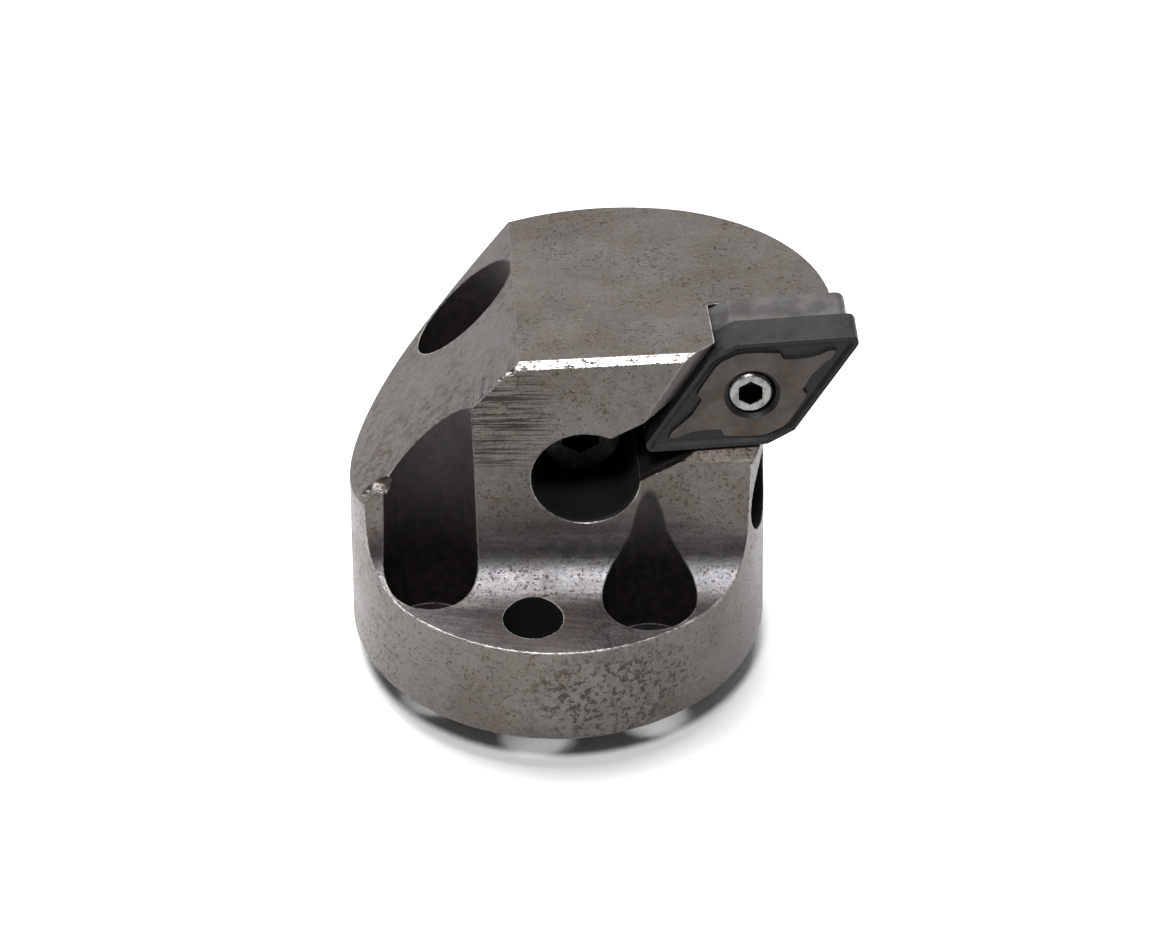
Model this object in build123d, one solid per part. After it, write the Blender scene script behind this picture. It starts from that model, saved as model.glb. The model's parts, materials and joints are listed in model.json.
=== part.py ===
from build123d import *
import os
from math import cos, radians, sin, sqrt, tan

os.makedirs("parts", exist_ok=True)

# Interchangeable boring-bar head with a lever-clamped 55 degree insert.
# Origin: centre of the flange face. +Z runs from the bar towards the workpiece, +X towards the insert nose.

# coupling end
flange_radius = 22.2
flange_chamfer = 0.6
spigot_radius = 12.5
spigot_length = 3.6
bolt_circle_radius = 16.7
bolt_hole_radius = 3.3
counterbore_radius = 5.05
counterbore_floor = 4.8
bolt_angles = (-45, -135, 135)
dowel_hole_radius = 3.25
side_hole_radius = 4.8
side_hole_height = 20.0
side_hole_depth = 7.5

# front end, which widens off-centre towards the nose
front_radius = 24.3
front_centre = (4.9, 1.7)
flare_start = 24.0
flare_end = 36.0
stock_height = 48.0
end_face = (38.9, 0.075, -0.142)     # height on the axis, rise along X, rise along Y
back_bevel = (43.1, 1.08, 0.06)
ridge_chamfer = 0.75

# chip gash in front of the insert
gash_turn = 9.0
gash_tilt = 4.0
gash_offset = 9.15
gash_floor = 12.6
gash_fillet = 6.5

# insert seat, laid out on the rake face: x towards the nose, y up and away from it, z out of the face
insert_centre = (21.48, -3.13, 34.90)
rake_turn = 12.33
rake_tilt = 6.94
nose_rise = 29.17
inscribed_circle = 12.7
nose_angle = 55.0
nose_radius = 0.8
insert_thickness = 4.76
insert_hole_radius = 2.58
insert_hole_flare = 0.5
obtuse_flat = 6.30                   # centre to each flattened obtuse corner
groove_depth = 0.35
land_width = 0.45
groove_corner = 0.4
shim_inset = 0.3
shim_flat = 6.5
shim_thickness = 4.76
shim_hole_radius = 3.45
shim_corner_radius = 1.0
seat_gap = 0.03
bottom_gap = 0.02
side_relief = 1.9
upper_lip_depth = 1.4
lower_lip_depth = 0.85
lip_width = 5.0
lip_run = 13.0

# clamping lever, its screw and the split sleeve
arm_reach = 20.3
channel_width = 6.4
channel_depth = 17.7
screw_bore_radius = 5.8
lever_width = 5.6
lever_top = -0.4
bulge_radius = 2.4
bulge_length = 2.2
bulge_chamfer = 0.25
lever_shift = 0.15                   # clamped: the lever top leans towards the seat corner
lever_neck_radius = 2.1
elbow_top = -12.8
elbow_bottom = -17.3
elbow_front = 2.8
elbow_rear = -3.2
elbow_chamfer = 1.2
neck_rear = -2.6
arm_top = -13.0
arm_bottom = -15.9
arm_end = -17.6
arm_root_top = -4.5
arm_root_bottom = -7.5
lever_hex = 2.5
lever_hex_depth = 2.2
sleeve_outer = 3.4
sleeve_inner = 2.75
sleeve_top = -5.2
sleeve_bottom = -12.3
sleeve_slit = 0.9
screw_head_radius = 4.7
screw_head_top = -9.0
screw_head_bottom = -12.97
screw_neck_radius = 2.5
screw_neck_bottom = -16.2
screw_thread_radius = 3.96
screw_end = -26.0
screw_hex = 4.0
screw_hex_depth = 3.2
screw_chamfer = 0.5
tapped_hole_radius = 4.0

far = 90.0                           # longer than the head
lap = 0.5                            # joined solids run into each other, and cuts past a face, by this


def beyond(level, rise_x, rise_y):
    """Everything above the plane z = level + rise_x * x + rise_y * y."""
    side = Plane(origin=(0, 0, level), z_dir=(-rise_x, -rise_y, 1))
    return side * Box(far, far, far, align=(Align.CENTER, Align.CENTER, Align.MIN))


def rake_plane():
    turn, tilt, rise = radians(rake_turn), radians(rake_tilt), radians(nose_rise)
    out = Vector(sin(turn) * cos(tilt), -cos(turn) * cos(tilt), sin(tilt))
    level = Vector(cos(turn), sin(turn), 0)
    towards_nose = level * cos(rise) + out.cross(level) * sin(rise)
    return Plane(origin=insert_centre, x_dir=towards_nose, z_dir=out)


def rod(radius, low, high, x=0, y=0):
    return Pos(x, y, low) * Cylinder(radius, high - low, align=(Align.CENTER, Align.CENTER, Align.MIN))


def slab(outline, low, high):
    return Pos(0, 0, low) * extrude(outline, amount=high - low)


def rhombus(inset=0.0):
    """Sharp-cornered 55 degree rhombus, its acute corners on the x axis."""
    half_angle = radians(nose_angle / 2)
    reach = inscribed_circle / 2 - inset
    return make_face(Polyline((reach / sin(half_angle), 0), (0, reach / cos(half_angle)),
                              (-reach / sin(half_angle), 0), (0, -reach / cos(half_angle)), close=True))


def insert_outline(inset=0.0, corner=nose_radius, flat=obtuse_flat):
    blank = rhombus(inset) & Rectangle(far, 2 * (flat - inset))
    return fillet(blank.vertices().sort_by(Axis.X)[0::len(blank.vertices()) - 1], corner)


rake = rake_plane()
half_nose = radians(nose_angle / 2)
obtuse_reach = inscribed_circle / 2 / cos(half_nose)
acute_reach = inscribed_circle / 2 / sin(half_nose)
seat_floor = -insert_thickness - shim_thickness - 2 * bottom_gap

# ---- head body: flange, round stock and the off-centre flare
stock = rod(flange_radius, 0, stock_height)
stock = chamfer(stock.edges().filter_by(GeomType.CIRCLE).sort_by(Axis.Z)[0], flange_chamfer)
flare_low = Pos(0, 0, flare_start) * Circle(flange_radius)
flare_high = Pos(*front_centre, flare_end) * Circle(front_radius)
flare = loft([flare_low, flare_high]) + rod(front_radius, flare_end, stock_height, *front_centre)

# the flare is relieved under the trailing edge, parallel to the insert's flank
trailing_edge = Plane(origin=(0, -obtuse_reach, 0), x_dir=(sin(half_nose), -cos(half_nose), 0),
                      z_dir=(0, 0, 1))
relief = Pos(-side_relief, 0, 0) * Box(far, 2 * far, 2 * far, align=(Align.MIN, Align.CENTER, Align.CENTER))
flare -= rake * (trailing_edge * relief)

spigot = rod(spigot_radius, -spigot_length, lap)
spigot = chamfer(spigot.edges().filter_by(GeomType.CIRCLE).sort_by(Axis.Z)[0], flange_chamfer)
body = stock + flare + spigot
body -= beyond(*end_face)
body -= beyond(*back_bevel)

# chip gash: tilted wall, hollow fillet and level floor, drawn across the wall and pushed along it
wall_run = Plane(origin=(0, 0, 0), x_dir=(sin(radians(gash_turn)), -cos(radians(gash_turn)), 0),
                 z_dir=(-cos(radians(gash_turn)), -sin(radians(gash_turn)), 0))
wall_lean = tan(radians(gash_tilt))
with BuildSketch() as gash_profile:
    with BuildLine():
        Polyline((gash_offset, gash_floor), (far, gash_floor), (far, stock_height + far),
                 (gash_offset - wall_lean * (stock_height + far - gash_floor), stock_height + far),
                 close=True)
    make_face()
    corner = gash_profile.vertices().sort_by_distance((gash_offset, gash_floor, 0))[0]
    fillet(corner, gash_fillet)
body -= wall_run * extrude(gash_profile.sketch, amount=far, both=True)

# broken ridge between the gash wall and the end face
wall_normal = Vector(sin(radians(gash_turn)) * cos(radians(gash_tilt)),
                     -cos(radians(gash_turn)) * cos(radians(gash_tilt)), sin(radians(gash_tilt)))
face_normal = Vector(-end_face[1], -end_face[2], 1).normalized()
wall_point = Vector(gash_offset * sin(radians(gash_turn)), -gash_offset * cos(radians(gash_turn)), gash_floor)
ridge_run = wall_normal.cross(face_normal).normalized()
ridge_level = Plane(origin=(0, 0, end_face[0]), z_dir=face_normal)
into_wall = wall_normal - face_normal * wall_normal.dot(face_normal)
on_face = ridge_level.origin + into_wall * ((wall_point - ridge_level.origin).dot(wall_normal)
                                            / into_wall.dot(wall_normal))
ridge_normal = (wall_normal + face_normal).normalized()
ridge_middle = on_face - ridge_normal * ridge_chamfer / sqrt(2)
ridge_cut = Plane(origin=ridge_middle, x_dir=ridge_run, z_dir=ridge_normal)
body -= ridge_cut * Box(far, far, far, align=(Align.CENTER, Align.CENTER, Align.MIN))

# bolt holes, dowel hole and the cross hole in the side
for angle in bolt_angles:
    x, y = bolt_circle_radius * cos(radians(angle)), bolt_circle_radius * sin(radians(angle))
    body -= rod(bolt_hole_radius, -lap, far, x, y)
    body -= rod(counterbore_radius, counterbore_floor, far, x, y)
body -= rod(dowel_hole_radius, -lap, gash_floor + lap, 0, -bolt_circle_radius)
side_mouth = Plane(origin=(flange_radius - side_hole_depth, 0, side_hole_height), z_dir=(1, 0, 0))
body -= side_mouth * rod(side_hole_radius, 0, far)

# insert seat: an open wedge with its corner towards the lever screw
seat_corner = -acute_reach - seat_gap / sin(half_nose)
seat_wedge = make_face(Polyline((seat_corner, 0), (seat_corner + far, far * tan(half_nose)),
                                (seat_corner + far, -far * tan(half_nose)), close=True))
body -= rake * slab(seat_wedge, seat_floor, far)

# sloping lips beside the seat's upper and lower walls
for side, lip_depth in ((1, upper_lip_depth), (-1, lower_lip_depth)):
    lip_profile = make_face(Polyline((-lap, -lip_depth - lap), (lip_width, lip_width - lip_depth),
                                     (-lap, lip_width - lip_depth), close=True))
    seat_wall = Plane(origin=(0, side * (obtuse_reach + seat_gap), 0),
                      x_dir=(-sin(half_nose), side * cos(half_nose), 0),
                      z_dir=(side * cos(half_nose), sin(half_nose), 0))
    body -= rake * (seat_wall * Pos(0, 0, -lip_run) * extrude(lip_profile, amount=2 * lip_run))

# lever channel, lever well, sleeve bore and screw bore
channel = make_face(Polyline((-arm_reach, -channel_width / 2), (0, -channel_width / 2),
                             (0, channel_width / 2), (-arm_reach, channel_width / 2), close=True))
body -= rake * slab(channel, -channel_depth, far)
body -= rake * rod(channel_width / 2, -channel_depth, seat_floor + lap)
body -= rake * rod(sleeve_outer, sleeve_bottom, seat_floor + lap)
body -= rake * rod(screw_bore_radius, -channel_depth, far, -arm_reach)
body -= rake * rod(tapped_hole_radius, -far, lap - channel_depth, -arm_reach)

# ---- insert: raised plateau inside a chip groove, the same on both faces
plateau_half = [(10.2, 0.1), (9.4, 0.45), (8.5, 0.52), (7.5, 0.7), (5.8, 1.5), (4.95, 2.05), (5.05, 2.87),
                (3.5, 3.9), (1.95, 4.8), (0.9, 5.14), (-0.75, 5.25), (-1.7, 4.95), (-3.05, 4.2),
                (-4.46, 3.4), (-4.95, 3.0), (-4.8, 2.3), (-5.6, 1.8), (-6.6, 1.2), (-8.45, 0.65), (-9.4, 0.5)]
plateau = make_face(Polyline(*plateau_half, *[(-x, -y) for x, y in plateau_half], close=True))
groove = insert_outline(land_width, corner=groove_corner) - plateau
insert_blank = slab(insert_outline(), -insert_thickness, 0)
insert_blank -= slab(groove, -groove_depth, lap)
insert_blank -= slab(groove, -insert_thickness - lap, groove_depth - insert_thickness)
insert_blank -= rod(insert_hole_radius, -insert_thickness - lap, lap)
flare_cone = Cone(insert_hole_radius, insert_hole_radius + insert_hole_flare, insert_hole_flare)
insert_blank -= Pos(0, 0, -insert_hole_flare / 2) * flare_cone
insert_blank -= Pos(0, 0, insert_hole_flare / 2 - insert_thickness) * Rot(180, 0, 0) * flare_cone
cutting_insert = rake * insert_blank

# ---- shim under the insert
shim_top = -insert_thickness - bottom_gap
shim_outline = insert_outline(shim_inset, shim_corner_radius, shim_flat)
shim_blank = slab(shim_outline, shim_top - shim_thickness, shim_top)
shim_blank -= rod(shim_hole_radius, -far, far)
seat_shim = rake * shim_blank

# ---- split sleeve that pins the shim to the body
sleeve = rod(sleeve_outer - bottom_gap, sleeve_bottom + bottom_gap, sleeve_top)
sleeve -= rod(sleeve_inner, -far, far)
sleeve -= Pos(0, sleeve_inner, 0) * Box(sleeve_slit, 4 * (sleeve_outer - sleeve_inner), far)
shim_sleeve = rake * sleeve

# ---- clamping lever: barrel-topped post, elbow and arm
bulge_low = lever_top - bulge_length
post = rod(lever_neck_radius, elbow_top - lap, bulge_low + lap, -lever_shift)
knob = rod(bulge_radius, bulge_low, lever_top, -lever_shift)
knob = chamfer(knob.edges().filter_by(GeomType.CIRCLE), bulge_chamfer)
knob_socket = extrude(RegularPolygon(lever_hex / 2, 6, major_radius=False), amount=lever_hex_depth + lap)
lever_side = make_face(Polyline((elbow_front, elbow_top), (elbow_front, elbow_bottom + elbow_chamfer),
                                (elbow_front - elbow_chamfer, elbow_bottom), (elbow_rear, elbow_bottom),
                                (arm_root_bottom, arm_bottom), (arm_end, arm_bottom), (arm_end, arm_top),
                                (arm_root_top, arm_top), (neck_rear, elbow_top), close=True))
side_view = Plane(origin=(0, 0, 0), x_dir=(1, 0, 0), z_dir=(0, -1, 0))
lever_plan = make_face(Polyline((arm_end, -lever_width / 2), (0, -lever_width / 2), (0, lever_width / 2),
                                (arm_end, lever_width / 2), close=True)) + Circle(lever_width / 2)
elbow = side_view * extrude(lever_side, amount=lever_width, both=True)
elbow &= slab(lever_plan, elbow_bottom, elbow_top)
lever = post + knob + elbow
lever -= Pos(-lever_shift, 0, lever_top - lever_hex_depth) * knob_socket
clamp_lever = rake * lever

# ---- lever screw: socket head, groove that carries the arm, threaded shank
screw = rod(screw_head_radius, screw_head_bottom, screw_head_top)
screw = chamfer(screw.edges().filter_by(GeomType.CIRCLE).sort_by(Axis.Z)[-1], screw_chamfer)
screw += rod(screw_neck_radius, screw_neck_bottom - lap, screw_head_bottom + lap)
shank = rod(screw_thread_radius, screw_end, screw_neck_bottom)
shank = chamfer(shank.edges().filter_by(GeomType.CIRCLE), screw_chamfer)
screw_socket = extrude(RegularPolygon(screw_hex / 2, 6, major_radius=False), amount=screw_hex_depth + lap)
screw = screw + shank - Pos(0, 0, screw_head_top - screw_hex_depth) * screw_socket
lever_screw = rake * (Pos(-arm_reach, 0, 0) * screw)

nodes = {
    "head_body": body,
    "cutting_insert": cutting_insert,
    "seat_shim": seat_shim,
    "shim_sleeve": shim_sleeve,
    "clamp_lever": clamp_lever,
    "lever_screw": lever_screw,
}
for name, solid in nodes.items():
    export_step(solid, f"parts/{name}.step")
    box = solid.bounding_box()
    print(name, len(solid.solids()), round(solid.volume, 1), box.min, box.max)
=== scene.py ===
import bpy
import bmesh
import json
import math
from mathutils import Matrix, Vector, geometry, noise


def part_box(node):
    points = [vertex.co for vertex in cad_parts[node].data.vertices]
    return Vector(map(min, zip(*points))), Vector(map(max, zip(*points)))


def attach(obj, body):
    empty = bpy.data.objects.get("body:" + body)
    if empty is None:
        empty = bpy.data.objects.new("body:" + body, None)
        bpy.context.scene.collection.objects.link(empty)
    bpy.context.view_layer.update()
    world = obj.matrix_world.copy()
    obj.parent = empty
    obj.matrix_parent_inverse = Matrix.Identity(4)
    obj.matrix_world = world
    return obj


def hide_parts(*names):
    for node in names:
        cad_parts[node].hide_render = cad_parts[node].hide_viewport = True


# Boring bar cutting head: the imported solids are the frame, and this script gives them their looks.

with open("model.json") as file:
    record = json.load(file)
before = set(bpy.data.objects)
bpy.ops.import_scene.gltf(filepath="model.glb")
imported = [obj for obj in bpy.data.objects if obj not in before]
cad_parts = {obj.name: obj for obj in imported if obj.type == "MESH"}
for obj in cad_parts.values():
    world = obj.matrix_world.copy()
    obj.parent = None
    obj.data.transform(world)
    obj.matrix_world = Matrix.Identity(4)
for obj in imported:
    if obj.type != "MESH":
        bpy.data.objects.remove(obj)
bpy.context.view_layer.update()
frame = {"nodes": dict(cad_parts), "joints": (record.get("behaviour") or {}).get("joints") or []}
mm = 0.001

joints = {joint["name"]: joint for joint in frame["joints"]}
outward = Vector(joints["screw_travel"]["axis"]).normalized()      # out of the rake face
acrossFace = Vector(joints["lever_rock"]["axis"]).normalized()     # up and across the insert
towardNose = acrossFace.cross(outward).normalized()
insertLow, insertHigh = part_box("cutting_insert")
headLow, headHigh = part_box("head_body")
insertThickness = 4.76
rakeCentre = (insertLow + insertHigh) / 2 + outward * insertThickness / 2 * mm
print("frame loaded:", len(frame["nodes"]), "pieces")


# each helper below adds to a finish and gives back its output

class finishKit:
    pass


def startFinish(name):
    kit = finishKit()
    kit.material = bpy.data.materials.new(name)
    kit.material.use_nodes = True
    kit.tree = kit.material.node_tree
    kit.tree.nodes.clear()
    kit.output = kit.tree.nodes.new("ShaderNodeOutputMaterial")
    kit.shader = kit.tree.nodes.new("ShaderNodeBsdfPrincipled")
    kit.tree.links.new(kit.shader.outputs[0], kit.output.inputs["Surface"])
    coordinate = kit.tree.nodes.new("ShaderNodeTexCoord")
    kit.place = stretched(kit, coordinate.outputs["Object"], (1000, 1000, 1000))   # millimetres
    return kit


def feed(kit, socket, value):
    if isinstance(value, bpy.types.NodeSocket):
        kit.tree.links.new(value, socket)
    elif value is not None:
        socket.default_value = value


def stretched(kit, vector, scale, turn=(0, 0, 0), shift=(0, 0, 0)):
    step = kit.tree.nodes.new("ShaderNodeMapping")
    feed(kit, step.inputs["Vector"], vector)
    step.inputs["Location"].default_value = shift
    step.inputs["Rotation"].default_value = [math.radians(a) for a in turn]
    step.inputs["Scale"].default_value = scale
    return step.outputs["Vector"]


def grain(kit, scale, detail=3.0, rough=0.55, vector=None, warp=0.0):
    step = kit.tree.nodes.new("ShaderNodeTexNoise")
    feed(kit, step.inputs["Vector"], vector or kit.place)
    step.inputs["Scale"].default_value = scale
    step.inputs["Detail"].default_value = detail
    step.inputs["Roughness"].default_value = rough
    step.inputs["Distortion"].default_value = warp
    return step.outputs["Fac"]


def sums(kit, kind, first, second=0.0):
    step = kit.tree.nodes.new("ShaderNodeMath")
    step.operation = kind
    feed(kit, step.inputs[0], first)
    feed(kit, step.inputs[1], second)
    return step.outputs[0]


def between(kit, value, low, high, toLow=0.0, toHigh=1.0, soft=True):
    step = kit.tree.nodes.new("ShaderNodeMapRange")
    step.interpolation_type = "SMOOTHSTEP" if soft else "LINEAR"
    feed(kit, step.inputs["Value"], value)
    step.inputs["From Min"].default_value = low
    step.inputs["From Max"].default_value = high
    step.inputs["To Min"].default_value = toLow
    step.inputs["To Max"].default_value = toHigh
    return step.outputs["Result"]


def blendOf(kit, amount, first, second):
    step = kit.tree.nodes.new("ShaderNodeMix")
    step.data_type = "RGBA"
    feed(kit, step.inputs["Factor"], amount)
    feed(kit, step.inputs["A"], tint(first))
    feed(kit, step.inputs["B"], tint(second))
    return step.outputs["Result"]


def tint(value):
    return (*value, 1.0) if isinstance(value, tuple) else value


def along(kit, direction, start=(0, 0, 0)):
    # how far a point lies along a direction from a start, in millimetres
    apart = kit.tree.nodes.new("ShaderNodeVectorMath")
    apart.operation = "SUBTRACT"
    feed(kit, apart.inputs[0], kit.place)
    apart.inputs[1].default_value = start
    dot = kit.tree.nodes.new("ShaderNodeVectorMath")
    dot.operation = "DOT_PRODUCT"
    feed(kit, dot.inputs[0], apart.outputs[0])
    dot.inputs[1].default_value = direction
    return dot.outputs["Value"]


def within(kit, distance, reach, fade=(0.10, 0.02)):
    # 1 inside a reach, fading out just past it
    return between(kit, distance, reach + fade[0], reach + fade[1])


def awayFrom(kit, start, squeeze=(1, 1, 1)):
    # distance from a point in millimetres, with each axis squeezed
    step = kit.tree.nodes.new("ShaderNodeVectorMath")
    step.operation = "LENGTH"
    shift = [-s * q for s, q in zip(start, squeeze)]
    feed(kit, step.inputs[0], stretched(kit, kit.place, squeeze, shift=shift))
    return step.outputs["Value"]


def offAxis(kit, start, direction):
    # distance from a line through start, in millimetres
    apart = kit.tree.nodes.new("ShaderNodeVectorMath")
    apart.operation = "SUBTRACT"
    feed(kit, apart.inputs[0], kit.place)
    apart.inputs[1].default_value = start
    cross = kit.tree.nodes.new("ShaderNodeVectorMath")
    cross.operation = "CROSS_PRODUCT"
    feed(kit, cross.inputs[0], apart.outputs[0])
    cross.inputs[1].default_value = direction
    size = kit.tree.nodes.new("ShaderNodeVectorMath")
    size.operation = "LENGTH"
    feed(kit, size.inputs[0], cross.outputs[0])
    return size.outputs["Value"]


def facing(kit, direction, low, high):
    # 1 where the flat surface looks along a direction of the object
    plain = kit.tree.nodes.new("ShaderNodeNewGeometry")
    dot = kit.tree.nodes.new("ShaderNodeVectorMath")
    dot.operation = "DOT_PRODUCT"
    feed(kit, dot.inputs[0], plain.outputs["True Normal"])
    dot.inputs[1].default_value = Vector(direction).normalized()
    return between(kit, dot.outputs["Value"], low, high)


def wornEdge(kit, width, low, high):
    # how far the surface turns within a short reach: 1 at a sharp corner, 0 on an open face
    rounded = kit.tree.nodes.new("ShaderNodeBevel")
    rounded.samples = 6
    rounded.inputs["Radius"].default_value = width * mm
    plain = kit.tree.nodes.new("ShaderNodeNewGeometry")
    dot = kit.tree.nodes.new("ShaderNodeVectorMath")
    dot.operation = "DOT_PRODUCT"
    feed(kit, dot.inputs[0], rounded.outputs["Normal"])
    feed(kit, dot.inputs[1], plain.outputs["Normal"])
    return between(kit, dot.outputs["Value"], high, low)


def relief(kit, height, strength, reach, under=None):
    step = kit.tree.nodes.new("ShaderNodeBump")
    step.inputs["Strength"].default_value = strength
    step.inputs["Distance"].default_value = reach * mm
    feed(kit, step.inputs["Height"], height)
    feed(kit, step.inputs["Normal"], under)
    return step.outputs["Normal"]


def softCorner(kit, width):
    step = kit.tree.nodes.new("ShaderNodeBevel")
    step.samples = 6
    step.inputs["Radius"].default_value = width * mm
    return step.outputs["Normal"]


def allOf(kit, *values):
    result = values[0]
    for value in values[1:]:
        result = sums(kit, "MULTIPLY", result, value)
    return result


def anyOf(kit, *values):
    result = values[0]
    for value in values[1:]:
        result = sums(kit, "MAXIMUM", result, value)
    return result


# head steel: used machined steel with rust specks, a pitted patch and scratches, with painted shade in the
# holes, gash and seat and painted highlights on the ridge and gash
# a grain is scale, detail and roughness; places are in millimetres

headLook = {
    "steelDark": (0.080, 0.074, 0.067),
    "steelLight": (0.135, 0.127, 0.117),
    # bright colour for rubbed corners and for painted highlights on the ridge and gash rim
    "rubbedAndHighlightMetal": (0.62, 0.61, 0.59),
    "rustBrown": (0.028, 0.0155, 0.0095),
    "rustRed": (0.064, 0.034, 0.019),
    "speckTone": (0.011, 0.0062, 0.0038),
    # near black for the wall scratches and for painted shade in the holes
    "scratchAndShadeBlack": (0.0040, 0.0037, 0.0043),
    "holeBrown": (0.014, 0.008, 0.0065),
    # painted shade colour for the gash floor and hollow corner
    "floorShade": (0.053, 0.050, 0.053),
    # painted highlight colour for the fillet band
    "bandHighlightTone": (0.18, 0.176, 0.188),
    # brown stain and painted shade on the back bevel
    "bevelStainShade": (0.054, 0.042, 0.034),
    "lipTone": (0.115, 0.107, 0.098),
    # painted shade under the insert on the lower lip
    "lowerLipShade": (0.030, 0.024, 0.020),
    "metal": 0.92,
    "metalWhenDull": 0.08,
    "sheen": 0.3,
    "cloudGrain": (0.11, 4, 0.6),
    "mottleGrain": (0.9, 5, 0.62),
    "fineGrain": (5.5, 3, 0.7),
    "ringStretch": (0.12, 0.12, 4.5),
    "streakStretch": (0.10, 2.4, 2.4),
    "scratchStretch": (0.11, 0.11, 3.9),
    "grimeStretch": (1.1, 2.6, 2.6),
    "topLevel": 28,
    "topCalm": 0.62,
    "gashTop": 16.5,
    "gashFade": 4.5,
    "gashRadius": 22.0,
    "bevelFacing": (-1.08, -0.06, 1.0),
    "patchGrain": (0.13, 3, 0.6),
    "speckGrain": (2.0, 4, 0.7),
    "pinGrain": (2.7, 3, 0.6),
    "topSpeckGrain": (2.3, 4, 0.68),
    "topPatchGrain": (0.16, 3, 0.6),
    "pitGrain": (1.25, 5, 0.76),
    "pittedPlace": (9.5, -20.0, 6.0),
    "scratchPlace": (-4.5, -7.8, 33.0),
    "boltCircle": 16.7,
    "boltAngles": (-45, -135, 135),
    "counterbore": 5.05,
    "dowelPlace": (0, -16.7, 0),
    "dowelRadius": 3.25,
    "screwPlace": (4.42, -8.08, 25.08),
    "screwBore": 5.8,
    "tappedRadius": 4.0,
    "sideHoleLevel": 20.0,
    "sideHoleRadius": 4.8,
    "channelWidth": 6.4,
    "channelFloor": -17.8,
    "armReach": 20.3,
    "seatReach": 6.38,
    "seatFloor": -9.8,
    "noseAngle": 55,
    "edgeWidth": 0.26,
    "rimWidth": 0.42,
    "rimRadius": 21.4,
    # normal of faces that catch the strip light's highlight
    "highlightFacing": (0.06, -0.62, 0.78),
    "ridgePlace": (6.0, -6.2, 39.5),
    "lipFacing": (0.737, -0.605, -0.300),
    "lowerLipPlace": (17.5, -7.4, 27.6),
    "knockPlace": (-18.6, -9.4, 22.6),
    "reliefReach": 0.09,
    "reliefStrength": 0.55,
}


def steelGround(kit, look):
    # broad clouds, finer mottling and turning marks round the axis; the ground top is more even
    kit.level = along(kit, (0, 0, 1))
    kit.fromAxis = offAxis(kit, (0, 0, 0), (0, 0, 1))
    kit.clouds = grain(kit, *look["cloudGrain"])
    kit.mottle = grain(kit, *look["mottleGrain"])
    kit.fine = grain(kit, *look["fineGrain"])
    tone = sums(kit, "ADD", allOf(kit, kit.clouds, 0.55), allOf(kit, kit.mottle, 0.45))
    topOnly = between(kit, kit.level, look["topLevel"], look["topLevel"] + 2)
    kit.calm = allOf(kit, facing(kit, (0, 0, 1), 0.97, 0.99), topOnly, look["topCalm"])
    kit.uneven = sums(kit, "SUBTRACT", 1.0, kit.calm)
    kit.tone = sums(kit, "ADD", allOf(kit, tone, kit.uneven), allOf(kit, kit.calm, 0.5))
    colour = blendOf(kit, between(kit, kit.tone, 0.36, 0.64), look["steelDark"], look["steelLight"])
    colour = blendOf(kit, between(kit, kit.fine, 0.35, 0.75, 0.0, 0.28), colour, look["steelDark"])
    kit.rings = grain(kit, 1.0, 4, 0.7, stretched(kit, kit.place, look["ringStretch"]))
    ringShare = allOf(kit, between(kit, kit.rings, 0.45, 0.75, 0.0, 0.22), kit.uneven)
    return blendOf(kit, ringShare, colour, look["steelLight"])


def gashTones(kit, look, colour):
    # painted shade on the floor and hollow corner, broken by streaks along the cut, and a painted highlight
    # on the band between them that faces the strip light
    streaks = grain(kit, 1.0, 4, 0.65, stretched(kit, kit.place, look["streakStretch"], (0, 0, -9)))
    kit.belowGash = between(kit, kit.level, look["gashTop"] + look["gashFade"], look["gashTop"])
    lowGash = allOf(kit, kit.belowGash, within(kit, kit.fromAxis, look["gashRadius"], (0.15, 0.0)))
    bandHighlight = allOf(kit, facing(kit, look["highlightFacing"], 0.93, 0.985), lowGash)
    floorShadeShare = allOf(kit, lowGash, between(kit, streaks, 0.3, 0.62, 0.25, 0.8))
    bandHighlightShare = allOf(kit, bandHighlight, between(kit, streaks, 0.25, 0.7, 0.2, 0.75))
    colour = blendOf(kit, floorShadeShare, colour, look["floorShade"])
    return blendOf(kit, bandHighlightShare, colour, look["bandHighlightTone"])


def bevelStainAndShade(kit, look, colour):
    # brown stain on the back bevel that also darkens the whole face as painted shade
    stainedAndShaded = allOf(kit, facing(kit, look["bevelFacing"], 0.985, 0.995),
                    between(kit, kit.mottle, 0.40, 0.62, 0.15, 0.75),
                    between(kit, kit.clouds, 0.36, 0.60, 0.5, 1.0))
    return blendOf(kit, stainedAndShaded, colour, look["bevelStainShade"])


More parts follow.
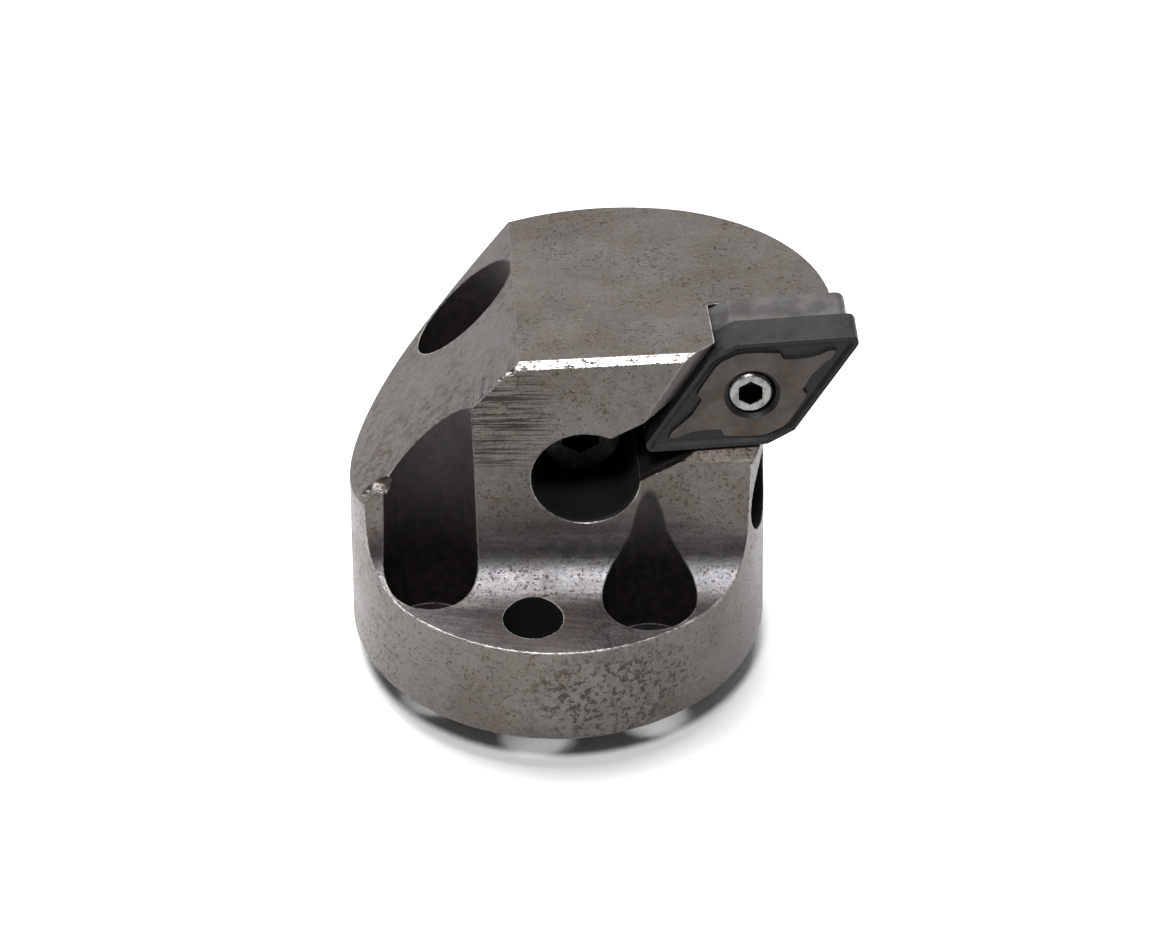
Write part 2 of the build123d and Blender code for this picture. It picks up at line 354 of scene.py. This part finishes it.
def rustMarks(kit, look, colour):
    # specks that thicken in patches, denser ones on the top, and a pitted patch low at the front
    shifted = stretched(kit, kit.place, (1, 1, 1), shift=(7, 3, 5))
    patches = between(kit, grain(kit, *look["patchGrain"], shifted), 0.42, 0.60)
    specks = between(kit, grain(kit, *look["speckGrain"], warp=0.15), 0.565, 0.64)
    pinPoints = between(kit, grain(kit, *look["pinGrain"]), 0.610, 0.655)
    topSpecks = allOf(kit, between(kit, grain(kit, *look["topSpeckGrain"]), 0.545, 0.60),
                      between(kit, kit.calm, 0.0, 0.6),
                      between(kit, grain(kit, *look["topPatchGrain"]), 0.40, 0.60, 0.35, 1.0))
    patchedSpecks = allOf(kit, specks, between(kit, patches, 0, 1, 0.30, 1.0))
    kit.rust = anyOf(kit, patchedSpecks, allOf(kit, pinPoints, 0.85), topSpecks)
    pittedArea = between(kit, awayFrom(kit, look["pittedPlace"], (0.85, 0.85, 1.2)), 10.5, 4.0)
    kit.pits = allOf(kit, between(kit, grain(kit, *look["pitGrain"], warp=0.25), 0.525, 0.575), pittedArea)
    rustTone = blendOf(kit, between(kit, grain(kit, 2.2, 2), 0.4, 0.6), look["rustBrown"], look["rustRed"])
    haze = allOf(kit, between(kit, patches, 0.2, 1.0), between(kit, kit.mottle, 0.42, 0.62), 0.32)
    colour = blendOf(kit, haze, colour, look["rustRed"])
    colour = blendOf(kit, allOf(kit, kit.rust, 0.82), colour, rustTone)
    colour = blendOf(kit, allOf(kit, topSpecks, 0.85), colour, look["speckTone"])
    return blendOf(kit, allOf(kit, kit.pits, 0.88), colour, look["rustBrown"])


def wallScratches(kit, look, colour):
    # scratches across the left part of the gash wall
    area = between(kit, awayFrom(kit, look["scratchPlace"], (0.75, 1, 0.55)), 5.2, 1.8)
    lines = grain(kit, 1.0, 3, 0.65, stretched(kit, kit.place, look["scratchStretch"]))
    kit.scratches = allOf(kit, between(kit, lines, 0.52, 0.59), area)
    return blendOf(kit, allOf(kit, kit.scratches, 0.72), colour, look["scratchAndShadeBlack"])


def boltHoles(kit, look):
    # 1 inside a bolt's counterbore, 0 outside it
    inside = []
    for angle in look["boltAngles"]:
        turn = math.radians(angle)
        centre = (look["boltCircle"] * math.cos(turn), look["boltCircle"] * math.sin(turn), 0)
        inside.append(within(kit, offAxis(kit, centre, (0, 0, 1)), look["counterbore"], (0.12, 0.02)))
    return anyOf(kit, *inside)


def holeStainAndShade(kit, look, colour):
    # brown stain in the counterbores with painted shade deepening further down, then painted shade in every
    # other opening
    deeperShade = between(kit, kit.level, 30.0, 9.0)
    kit.stain = allOf(kit, boltHoles(kit, look), between(kit, deeperShade, 0, 1, 0.80, 0.99))
    stainAndShadeTone = blendOf(kit, between(kit, kit.mottle, 0.42, 0.60), look["scratchAndShadeBlack"], look["holeBrown"])
    colour = blendOf(kit, kit.stain, colour, stainAndShadeTone)
    rakeStart = tuple(rakeCentre / mm)
    depth = along(kit, tuple(outward), rakeStart)
    kit.across = sums(kit, "ABSOLUTE", along(kit, tuple(acrossFace), rakeStart))
    lengthwise = along(kit, tuple(towardNose), rakeStart)
    belowRake = between(kit, depth, -0.7, -1.3)
    aboveFloor = between(kit, depth, look["channelFloor"] - 0.2, look["channelFloor"])
    dowel = within(kit, offAxis(kit, look["dowelPlace"], (0, 0, 1)), look["dowelRadius"])
    offScrew = offAxis(kit, look["screwPlace"], tuple(outward))
    bore = allOf(kit, within(kit, offScrew, look["screwBore"], (0.08, 0.01)), belowRake, aboveFloor)
    tapped = allOf(kit, within(kit, offScrew, look["tappedRadius"], (0.08, 0.01)), belowRake)
    offSide = offAxis(kit, (0, 0, look["sideHoleLevel"]), (1, 0, 0))
    side = allOf(kit, within(kit, offSide, look["sideHoleRadius"]),
                 between(kit, along(kit, (1, 0, 0)), 14.0, 15.0))
    channel = allOf(kit, within(kit, kit.across, look["channelWidth"] / 2, (0.06, 0.01)),
                    between(kit, lengthwise, 1.0, 0.0),
                    between(kit, lengthwise, -look["armReach"], 0.2 - look["armReach"]),
                    belowRake, aboveFloor)
    halfNose = math.radians(look["noseAngle"] / 2)
    kit.inSeat = sums(kit, "SUBTRACT", allOf(kit, kit.across, math.cos(halfNose)),
                      allOf(kit, lengthwise, math.sin(halfNose)))
    seat = allOf(kit, within(kit, kit.inSeat, look["seatReach"], (0.12, 0.06)),
                 between(kit, depth, -0.6, -1.3),
                 between(kit, depth, look["seatFloor"] - 0.4, look["seatFloor"]), 0.9)
    # painted shade: the dowel hole, screw bore, tapped hole, side hole, channel and insert seat are painted
    # near black
    kit.dark = anyOf(kit, dowel, bore, tapped, channel, side, seat)
    return blendOf(kit, allOf(kit, kit.dark, 0.95), colour, look["scratchAndShadeBlack"])


def seatLips(kit, look, colour):
    # the two lips that stand beside the insert, the lower one darkened as painted shade under the insert
    kit.lip = allOf(kit, facing(kit, look["lipFacing"], 0.95, 0.98), between(kit, kit.across, 2.0, 3.4))
    lowerLip = allOf(kit, facing(kit, look["highlightFacing"], 0.97, 0.985),
                     between(kit, awayFrom(kit, look["lowerLipPlace"]), 8.0, 7.0),
                     within(kit, kit.inSeat, look["seatReach"], (1.6, 1.2)))
    lipShare = allOf(kit, kit.lip, between(kit, kit.mottle, 0.3, 0.6, 0.75, 1.0))
    colour = blendOf(kit, lipShare, colour, look["lipTone"])
    return blendOf(kit, allOf(kit, lowerLip, 0.8), colour, look["lowerLipShade"])


def rubbedMetal(kit, look, colour):
    # corners rubbed bright, a painted highlight on the ridge under the top, and the front rim of the gash,
    # partly rubbed wear and partly a painted highlight on the side facing the lights
    edge = allOf(kit, wornEdge(kit, look["edgeWidth"], 0.80, 0.985),
                 between(kit, grain(kit, 1.4, 4, 0.7), 0.34, 0.54), between(kit, kit.stain, 0, 1, 1.0, 0.35),
                 between(kit, awayFrom(kit, look["knockPlace"]), 1.8, 3.2, 0.12, 1.0))
    ridge = allOf(kit, facing(kit, look["highlightFacing"], 0.93, 0.97),
                  between(kit, awayFrom(kit, look["ridgePlace"], (0.4, 1, 1)), 6.0, 5.0))
    brokenRidgeHighlight = allOf(kit, ridge, between(kit, grain(kit, 2.3, 4, 0.72), 0.38, 0.56, 0.28, 0.78))
    rim = allOf(kit, wornEdge(kit, look["rimWidth"], 0.90, 0.995),
                between(kit, kit.fromAxis, look["rimRadius"] - 0.2, look["rimRadius"]),
                between(kit, kit.level, 4.0, 5.0), kit.belowGash,
                between(kit, along(kit, (0, 1, 0)), -6.0, -9.0),
                between(kit, grain(kit, 0.9, 4, 0.75), 0.45, 0.60, 0.05, 0.9))
    kit.rub = anyOf(kit, edge, brokenRidgeHighlight, rim)
    colour = blendOf(kit, allOf(kit, kit.rub, 0.85), colour, look["rubbedAndHighlightMetal"])
    # grime that breaks up the ridge's painted highlight
    smears = grain(kit, 1.0, 4, 0.7, stretched(kit, kit.place, look["grimeStretch"]))
    kit.grime = allOf(kit, ridge, between(kit, smears, 0.52, 0.60))
    return blendOf(kit, allOf(kit, kit.grime, 0.9), colour, look["rustBrown"])


def headSteel(look):
    kit = startFinish("headSteel")
    colour = steelGround(kit, look)
    for layer in (gashTones, bevelStainAndShade, rustMarks, wallScratches, holeStainAndShade, seatLips, rubbedMetal):
        colour = layer(kit, look, colour)
    feed(kit, kit.shader.inputs["Base Color"], colour)
    # rust, stain and the painted shade in the holes are not metallic
    dull = anyOf(kit, allOf(kit, kit.rust, 0.8), kit.pits, kit.stain, kit.dark, kit.grime,
                 allOf(kit, kit.lip, 0.85))
    metal = between(kit, dull, 0, 1, look["metal"], look["metalWhenDull"], False)
    feed(kit, kit.shader.inputs["Metallic"], metal)
    kit.shader.inputs["Specular IOR Level"].default_value = look["sheen"]
    gloss = between(kit, sums(kit, "ADD", kit.tone, allOf(kit, kit.fine, 0.25)), 0.45, 0.85, 0.34, 0.52)
    gloss = sums(kit, "ADD", gloss, allOf(kit, dull, 0.28))
    gloss = sums(kit, "SUBTRACT", gloss, allOf(kit, kit.rub, 0.16))
    feed(kit, kit.shader.inputs["Roughness"], gloss)
    # relief: rounded corners first, then grain, pits and scratches
    height = sums(kit, "ADD", allOf(kit, kit.fine, 0.35), allOf(kit, kit.mottle, kit.uneven, 0.65))
    for mark, share in ((kit.rust, 0.35), (kit.pits, 0.9), (kit.scratches, 0.9)):
        height = sums(kit, "SUBTRACT", height, allOf(kit, mark, share))
    height = sums(kit, "ADD", height, allOf(kit, kit.rings, kit.uneven, 0.12))
    rounded = softCorner(kit, look["edgeWidth"])
    bumps = relief(kit, height, look["reliefStrength"], look["reliefReach"], rounded)
    feed(kit, kit.shader.inputs["Normal"], bumps)
    return kit.material


# carbide, lever, screw and sleeve finishes

edgeGrey = (0.13, 0.125, 0.12)
coatLook = {
    "dark": (0.0050, 0.0049, 0.0051),
    "light": (0.0098, 0.0094, 0.0097),
    "stain": (0.030, 0.026, 0.022),
    "stainShare": 0.25,
    "edge": edgeGrey,
    "metal": 0.05,
    "sheen": 0.22,
    "rough": 0.46,
}
faceLook = {
    "dark": (0.034, 0.029, 0.025),
    "light": (0.062, 0.054, 0.047),
    "stain": (0.070, 0.038, 0.022),
    "stainShare": 0.55,
    "edge": edgeGrey,
    "metal": 0.50,
    "sheen": 0.26,
    "rough": 0.42,
}
shimLook = {
    "dark": (0.045, 0.043, 0.041),
    "light": (0.075, 0.072, 0.068),
    "stain": (0.045, 0.033, 0.026),
    "stainShare": 0.4,
    "edge": edgeGrey,
    "metal": 0.55,
    "sheen": 0.3,
    "rough": 0.42,
}


def carbideFinish(name, look):
    kit = startFinish(name)
    clouds = grain(kit, 0.30, 4, 0.6)
    fine = grain(kit, 6.0, 3, 0.7)
    smears = grain(kit, 0.9, 4, 0.7, warp=0.8)
    colour = blendOf(kit, between(kit, clouds, 0.36, 0.64), look["dark"], look["light"])
    colour = blendOf(kit, between(kit, fine, 0.5, 0.8, 0.0, 0.35), colour, look["light"])
    colour = blendOf(kit, between(kit, smears, 0.50, 0.66, 0.0, look["stainShare"]), colour, look["stain"])
    edge = allOf(kit, wornEdge(kit, 0.10, 0.82, 0.98), between(kit, grain(kit, 2.4, 4, 0.7), 0.42, 0.62))
    colour = blendOf(kit, allOf(kit, edge, 0.6), colour, look["edge"])
    feed(kit, kit.shader.inputs["Base Color"], colour)
    kit.shader.inputs["Metallic"].default_value = look["metal"]
    kit.shader.inputs["Specular IOR Level"].default_value = look["sheen"]
    both = sums(kit, "ADD", clouds, smears)
    gloss = between(kit, both, 0.7, 1.3, look["rough"] - 0.06, look["rough"] + 0.10)
    feed(kit, kit.shader.inputs["Roughness"], gloss)
    height = sums(kit, "ADD", fine, sums(kit, "MULTIPLY", smears, 0.5))
    feed(kit, kit.shader.inputs["Normal"], relief(kit, height, 0.35, 0.04, softCorner(kit, 0.06)))
    return kit.material


leverLook = {
    "steelDark": (0.12, 0.116, 0.112),
    "steelLight": (0.25, 0.245, 0.237),
    # painted shade colour for the hex socket and the lower lever
    "socketShade": (0.016, 0.015, 0.018),
    "socketReach": 1.42,
    "socketShift": 0.15,
    "metal": 0.95,
    "rough": 0.26,
}


def leverSteel(look):
    kit = startFinish("leverSteel")
    turned = grain(kit, 1.0, 3, 0.6, stretched(kit, kit.place, (3.0, 3.0, 3.0)))
    smears = grain(kit, 1.1, 4, 0.65)
    colour = blendOf(kit, between(kit, smears, 0.38, 0.62), look["steelDark"], look["steelLight"])
    colour = blendOf(kit, between(kit, turned, 0.55, 0.75, 0.0, 0.35), colour, look["steelDark"])
    axisStart = tuple(rakeCentre / mm - towardNose * look["socketShift"])
    depth = along(kit, tuple(outward), axisStart)
    nearAxis = within(kit, offAxis(kit, axisStart, tuple(outward)), look["socketReach"], (0.05, 0.0))
    inSocket = allOf(kit, nearAxis, between(kit, depth, -0.45, -0.60))
    lower = between(kit, depth, -1.8, -3.2)
    # painted shade: the hex socket and the lever's lower part, further down the hole, are darkened
    colour = blendOf(kit, sums(kit, "MAXIMUM", inSocket, allOf(kit, lower, 0.8)), colour, look["socketShade"])
    feed(kit, kit.shader.inputs["Base Color"], colour)
    kit.shader.inputs["Metallic"].default_value = look["metal"]
    gloss = between(kit, smears, 0.3, 0.7, look["rough"] - 0.05, look["rough"] + 0.14)
    feed(kit, kit.shader.inputs["Roughness"], gloss)
    feed(kit, kit.shader.inputs["Normal"], relief(kit, turned, 0.25, 0.03, softCorner(kit, 0.16)))
    return kit.material


screwLook = {
    "oxideDark": (0.010, 0.010, 0.010),
    "oxideWorn": (0.050, 0.046, 0.042),
    "metal": 0.7,
    "rough": 0.42,
}


def screwSteel(look):
    kit = startFinish("screwSteel")
    smears = grain(kit, 0.8, 5, 0.65)
    fine = grain(kit, 4.5, 3, 0.6)
    edge = wornEdge(kit, 0.2, 0.80, 0.985)
    colour = blendOf(kit, between(kit, smears, 0.45, 0.70), look["oxideDark"], look["oxideWorn"])
    colour = blendOf(kit, allOf(kit, edge, between(kit, fine, 0.4, 0.6), 0.7), colour, edgeGrey)
    feed(kit, kit.shader.inputs["Base Color"], colour)
    kit.shader.inputs["Metallic"].default_value = look["metal"]
    gloss = between(kit, fine, 0.3, 0.7, look["rough"] - 0.08, look["rough"] + 0.12)
    feed(kit, kit.shader.inputs["Roughness"], gloss)
    feed(kit, kit.shader.inputs["Normal"], relief(kit, fine, 0.3, 0.04, softCorner(kit, 0.15)))
    return kit.material


sleeveLook = {
    "steelDark": (0.10, 0.095, 0.09),
    "steelLight": (0.22, 0.21, 0.20),
    "metal": 0.85,
    "rough": 0.35,
}


def sleeveSteel(look):
    kit = startFinish("sleeveSteel")
    smears = grain(kit, 0.9, 4, 0.6)
    fine = grain(kit, 5.0, 3, 0.6)
    colour = blendOf(kit, between(kit, smears, 0.4, 0.65), look["steelDark"], look["steelLight"])
    feed(kit, kit.shader.inputs["Base Color"], colour)
    kit.shader.inputs["Metallic"].default_value = look["metal"]
    gloss = between(kit, fine, 0.3, 0.7, look["rough"], look["rough"] + 0.20)
    feed(kit, kit.shader.inputs["Roughness"], gloss)
    feed(kit, kit.shader.inputs["Normal"], relief(kit, fine, 0.3, 0.03, softCorner(kit, 0.08)))
    return kit.material


def dress(piece, *materials):
    for number, material in enumerate(materials):
        if number < len(piece.data.materials):
            piece.data.materials[number] = material
        else:
            piece.data.materials.append(material)


coatMaterial = carbideFinish("carbideCoat", coatLook)
faceMaterial = carbideFinish("carbideFace", faceLook)
shimMaterial = carbideFinish("shimGround", shimLook)
print("finishes mixed:", len(bpy.data.materials))


# head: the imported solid's surface, with the knocks it has taken on its corners

headCut = {
    "weld": 0.0005,           # millimetres
    "sharpAngle": 24,
    "flatWeight": 90,
}
headKnocks = [
    # place and size in millimetres, and which noise
    {"place": (-18.2, -9.9, 23.4), "size": (2.0, 1.1, 0.9), "seed": 3},
    {"place": (-17.2, -10.3, 24.1), "size": (1.2, 1.2, 0.9), "seed": 11},
    {"place": (-19.4, -9.5, 22.2), "size": (1.3, 0.8, 0.8), "seed": 5},
    {"place": (-3.95, -7.55, 38.9), "size": (0.9, 0.5, 0.6), "seed": 8},
    {"place": (-4.9, -7.75, 37.8), "size": (0.6, 0.35, 0.5), "seed": 9},
]


def knockTool(knock):
    tool = bmesh.new()
    bmesh.ops.create_icosphere(tool, subdivisions=4, radius=1)
    for vert in tool.verts:
        lumps = noise.noise(vert.co * 1.3 + Vector((knock["seed"], 0, 0)))
        chips = noise.noise(vert.co * 3.4 + Vector((0, knock["seed"], 0)))
        spot = vert.co * (1 + 0.34 * (lumps + 0.3 * chips))
        vert.co = Vector([(p + s * q) * mm for p, s, q in zip(knock["place"], knock["size"], spot)])
    mesh = bpy.data.meshes.new("knockTool")
    tool.to_mesh(mesh)
    tool.free()
    return bpy.data.objects.new("knockTool", mesh)


def makeHead(cut):
    source = frame["nodes"]["head_body"]
    work = bmesh.new()
    work.from_mesh(source.data)
    bmesh.ops.remove_doubles(work, verts=work.verts, dist=cut["weld"] * mm)
    work.verts.index_update()
    mesh = bpy.data.meshes.new("headSteelShell")
    faces = [[v.index for v in face.verts] for face in work.faces]
    mesh.from_pydata([v.co[:] for v in work.verts], [], faces)
    work.free()
    head = bpy.data.objects.new("headSteelShell", mesh)
    bpy.context.scene.collection.objects.link(head)
    tools = []
    for knock in headKnocks:
        tool = knockTool(knock)
        bpy.context.scene.collection.objects.link(tool)
        tools.append(tool)
        bite = head.modifiers.new("knock", "BOOLEAN")
        bite.operation = "DIFFERENCE"
        bite.solver = "EXACT"
        bite.object = tool
    bpy.context.view_layer.update()
    shown = head.evaluated_get(bpy.context.evaluated_depsgraph_get())
    final = bpy.data.meshes.new_from_object(shown)
    head.modifiers.clear()
    head.data = final
    for tool in tools:
        bpy.data.objects.remove(tool)
    final.polygons.foreach_set("use_smooth", [True] * len(final.polygons))
    final.set_sharp_from_angle(angle=math.radians(cut["sharpAngle"]))
    flatter = head.modifiers.new("flatter", "WEIGHTED_NORMAL")    # large flat faces stay flat
    flatter.keep_sharp = True
    flatter.weight = cut["flatWeight"]
    return head


head = makeHead(headCut)
dress(head, headSteel(headLook))
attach(head, "head")
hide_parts("head_body")
print("head made:", len(head.data.polygons), "faces")


# insert: hone, land, sloping groove and raised plateau on both faces

insertCut = {
    "innerCircle": 12.7,
    "noseAngle": 55,
    "noseRadius": 0.8,
    "holeRadius": 2.58,
    "holeFlare": 0.42,
    "cornerReach": 6.30,      # centre to each flattened obtuse corner
    "hone": 0.05,
    "land": 0.45,
    "slope": 0.40,
    "grooveDepth": 0.34,
    "plateauFoot": 0.14,
    "sharpAngle": 28,
    "arcSteps": 7,
    "holeSteps": 56,
    # one side of the plateau's outline, from the nose round to the far corner
    "plateau": [(10.2, 0.1), (9.4, 0.45), (8.5, 0.52), (7.5, 0.7), (5.8, 1.5), (4.95, 2.05), (5.05, 2.87),
                (3.5, 3.9), (1.95, 4.8), (0.9, 5.14), (-0.75, 5.25), (-1.7, 4.95), (-3.05, 4.2),
                (-4.46, 3.4), (-4.95, 3.0), (-4.8, 2.3), (-5.6, 1.8), (-6.6, 1.2), (-8.45, 0.65),
                (-9.4, 0.5)],
}


def rhombusRing(cut, inset):
    # rounded 55 degree rhombus with flattened obtuse corners, anticlockwise from the nose
    half = math.radians(cut["noseAngle"] / 2)
    reach = cut["innerCircle"] / 2 - inset
    radius = max(cut["noseRadius"] - inset, 0.08)
    flat = cut["cornerReach"] - inset
    arcX = (reach - radius) / math.sin(half)
    flatX = (reach - flat * math.cos(half)) / math.sin(half)
    arc = []
    for step in range(cut["arcSteps"] + 1):
        turn = (math.pi / 2 - half) * (2 * step / cut["arcSteps"] - 1)
        arc.append((arcX + radius * math.cos(turn), radius * math.sin(turn)))
    ring = arc + [(flatX, flat), (-flatX, flat)]
    return ring + [(-x, -y) for x, y in ring]


def grownRing(points, grow):
    # each point moved outwards along the mean of its two sides
    moved = []
    for index, point in enumerate(points):
        before = Vector(points[index - 1]) - Vector(point)
        after = Vector(points[(index + 1) % len(points)]) - Vector(point)
        sideways = (after.normalized() - before.normalized()).normalized()
        moved.append((point[0] + sideways.y * grow, point[1] - sideways.x * grow))
    return moved


def faceRings(cut):
    # every ring of one face with its depth below the rake plane
    plateau = cut["plateau"] + [(-x, -y) for x, y in cut["plateau"]]
    turns = [2 * math.pi * k / cut["holeSteps"] for k in range(cut["holeSteps"])]
    bore = cut["holeRadius"]
    mouth = bore + cut["holeFlare"]
    return [
        (rhombusRing(cut, 0), cut["hone"]),
        (rhombusRing(cut, cut["hone"]), 0),
        (rhombusRing(cut, cut["land"]), 0),
        (rhombusRing(cut, cut["land"] + cut["slope"]), cut["grooveDepth"]),
        (grownRing(plateau, cut["plateauFoot"]), cut["grooveDepth"]),
        (plateau, 0),
        ([(math.cos(turn) * mouth, math.sin(turn) * mouth) for turn in turns], 0),
        ([(math.cos(turn) * bore, math.sin(turn) * bore) for turn in turns], cut["holeFlare"]),
    ]


def makeInsert(cut):
    rings = faceRings(cut)
    points, depths, edges, owner = [], [], [], []
    for number, (ring, depth) in enumerate(rings):
        first = len(points)
        points += [Vector(p) for p in ring]
        depths += [depth] * len(ring)
        owner += [number] * len(ring)
        edges += [(first + k, first + (k + 1) % len(ring)) for k in range(len(ring))]
    flatPoints, _, triangles, sources, _, _ = geometry.delaunay_2d_cdt(points, edges, [], 0, 1e-6)
    kind = [owner[source[0]] for source in sources]
    deep = [depths[source[0]] for source in sources]
    plateauRing, mouthRing, holeRing = len(rings) - 3, len(rings) - 2, len(rings) - 1
    mesh = bmesh.new()
    layers = []
    for under in (False, True):
        layer = []
        for spot, depth in zip(flatPoints, deep):
            height = -insertThickness + depth if under else -depth
            layer.append(mesh.verts.new((spot.x * mm, spot.y * mm, height * mm)))
        layers.append(layer)
        for corners in triangles:
            kinds = [kind[k] for k in corners]
            centre = sum((flatPoints[k] for k in corners), Vector((0, 0))) / 3
            if min(kinds) == holeRing and centre.length < cut["holeRadius"]:
                continue
            order = [layer[k] for k in corners]
            face = mesh.faces.new(order[::-1] if under else order)
            face.material_index = 1 if min(kinds) >= plateauRing and max(kinds) <= mouthRing else 0
    top, bottom = layers
    for number, outerWall in ((0, True), (holeRing, False)):
        loop = [k for k in range(len(flatPoints)) if kind[k] == number]
        loop.sort(key=lambda k: math.atan2(flatPoints[k].y, flatPoints[k].x))
        for here, there in zip(loop, loop[1:] + loop[:1]):
            wall = [top[here], bottom[here], bottom[there], top[there]]
            mesh.faces.new(wall if outerWall else wall[::-1])
    for vert in mesh.verts:
        vert.co = rakeCentre + towardNose * vert.co.x + acrossFace * vert.co.y + outward * vert.co.z
    bmesh.ops.recalc_face_normals(mesh, faces=mesh.faces)
    data = bpy.data.meshes.new("cuttingInsert")
    mesh.to_mesh(data)
    mesh.free()
    data.polygons.foreach_set("use_smooth", [True] * len(data.polygons))
    data.set_sharp_from_angle(angle=math.radians(cut["sharpAngle"]))
    insert = bpy.data.objects.new("cuttingInsert", data)
    bpy.context.scene.collection.objects.link(insert)
    return insert


insert = makeInsert(insertCut)
dress(insert, coatMaterial, faceMaterial)
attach(insert, "insert")
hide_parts("cutting_insert")
print("insert made:", len(insert.data.polygons), "faces")


# pieces carried over from the frame with a finish only

dress(frame["nodes"]["seat_shim"], shimMaterial)
dress(frame["nodes"]["shim_sleeve"], sleeveSteel(sleeveLook))
dress(frame["nodes"]["clamp_lever"], leverSteel(leverLook))
dress(frame["nodes"]["lever_screw"], screwSteel(screwLook))
print("shim, sleeve, lever and screw dressed")


# table, light and camera

tableSet = {
    "half": 1.6,
    "gap": 0.02,              # millimetres under the head
    "tone": (0.86, 0.86, 0.86),
    "toneFaint": (0.80, 0.80, 0.795),
    "rough": 0.36,
}


def makeTable(look):
    mesh = bpy.data.meshes.new("table")
    work = bmesh.new()
    bmesh.ops.create_grid(work, x_segments=1, y_segments=1, size=look["half"])
    work.to_mesh(mesh)
    work.free()
    table = bpy.data.objects.new("table", mesh)
    table.location = (0, 0, headLow.z - look["gap"] * mm)
    bpy.context.scene.collection.objects.link(table)
    kit = startFinish("paleTable")
    clouds = grain(kit, 0.02, 3, 0.6)
    colour = blendOf(kit, between(kit, clouds, 0.35, 0.65, 0.0, 0.35), look["tone"], look["toneFaint"])
    feed(kit, kit.shader.inputs["Base Color"], colour)
    kit.shader.inputs["Roughness"].default_value = look["rough"]
    dress(table, kit.material)


makeTable(tableSet)

lightSet = {
    "skyFront": (0.12, 0.12, 0.125),
    "skyBack": (0.55, 0.547, 0.543),
    "skyFrom": -0.35,
    "skyTo": 0.85,
    "soft": [
        # direction from the head, distance, size, watts
        {"name": "topPanel", "toward": (-0.16, 0.30, 0.94), "away": 0.62, "size": 0.56, "power": 9.6},
        {"name": "stripPanel", "toward": (0.0, -0.47, 0.88), "away": 0.75, "size": 0.17, "power": 4.0},
    ],
}


def makeLights(look):
    world = bpy.data.worlds.new("paleRoom")
    world.use_nodes = True
    tree = world.node_tree
    # the room is bright behind the head and dim in front of it
    direction = tree.nodes.new("ShaderNodeTexCoord")
    split = tree.nodes.new("ShaderNodeSeparateXYZ")
    tree.links.new(direction.outputs["Generated"], split.inputs[0])
    reach = tree.nodes.new("ShaderNodeMapRange")
    reach.interpolation_type = "SMOOTHSTEP"
    reach.inputs["From Min"].default_value = look["skyFrom"]
    reach.inputs["From Max"].default_value = look["skyTo"]
    tree.links.new(split.outputs["Y"], reach.inputs["Value"])
    room = tree.nodes.new("ShaderNodeMix")
    room.data_type = "RGBA"
    room.inputs["A"].default_value = (*look["skyFront"], 1)
    room.inputs["B"].default_value = (*look["skyBack"], 1)
    tree.links.new(reach.outputs["Result"], room.inputs["Factor"])
    tree.links.new(room.outputs["Result"], tree.nodes["Background"].inputs["Color"])
    bpy.context.scene.world = world
    middle = (headLow + headHigh) / 2
    for lamp in look["soft"]:
        data = bpy.data.lights.new(lamp["name"], "AREA")
        data.shape = "DISK"
        data.size = lamp["size"]
        data.energy = lamp["power"]
        panel = bpy.data.objects.new(lamp["name"], data)
        toward = Vector(lamp["toward"]).normalized()
        panel.location = middle + toward * lamp["away"]
        panel.rotation_euler = toward.to_track_quat("Z", "Y").to_euler()
        bpy.context.scene.collection.objects.link(panel)


makeLights(lightSet)

cameraSet = {
    "turn": 9.0,              # degrees round from the front
    "lift": 39.95,            # degrees above the table
    "roll": -0.487,
    "lens": 269.85,
    "sensor": 36,
    "clip": (0.05, 20),
    "away": 0.935,
    "aim": (0.0017, 0.0042, 0.0156),
}


def makeCamera(look):
    data = bpy.data.cameras.new("viewCamera")
    data.sensor_width = look["sensor"]
    data.lens = look["lens"]
    data.clip_start, data.clip_end = look["clip"]
    camera = bpy.data.objects.new("viewCamera", data)
    turn, lift = math.radians(look["turn"]), math.radians(look["lift"])
    back = Vector((math.sin(turn) * math.cos(lift), -math.cos(turn) * math.cos(lift), math.sin(lift)))
    level = Vector((math.cos(turn), math.sin(turn), 0))
    upright = back.cross(level)
    roll = math.radians(look["roll"])
    right = level * math.cos(roll) + upright * math.sin(roll)
    up = upright * math.cos(roll) - level * math.sin(roll)
    spot = Vector(look["aim"]) + back * look["away"]
    camera.matrix_world = Matrix((
        (right.x, up.x, back.x, spot.x),
        (right.y, up.y, back.y, spot.y),
        (right.z, up.z, back.z, spot.z),
        (0, 0, 0, 1),
    ))
    bpy.context.scene.collection.objects.link(camera)
    bpy.context.scene.camera = camera


makeCamera(cameraSet)
bpy.context.scene.view_settings.view_transform = "Standard"
print("table, lights and camera set")
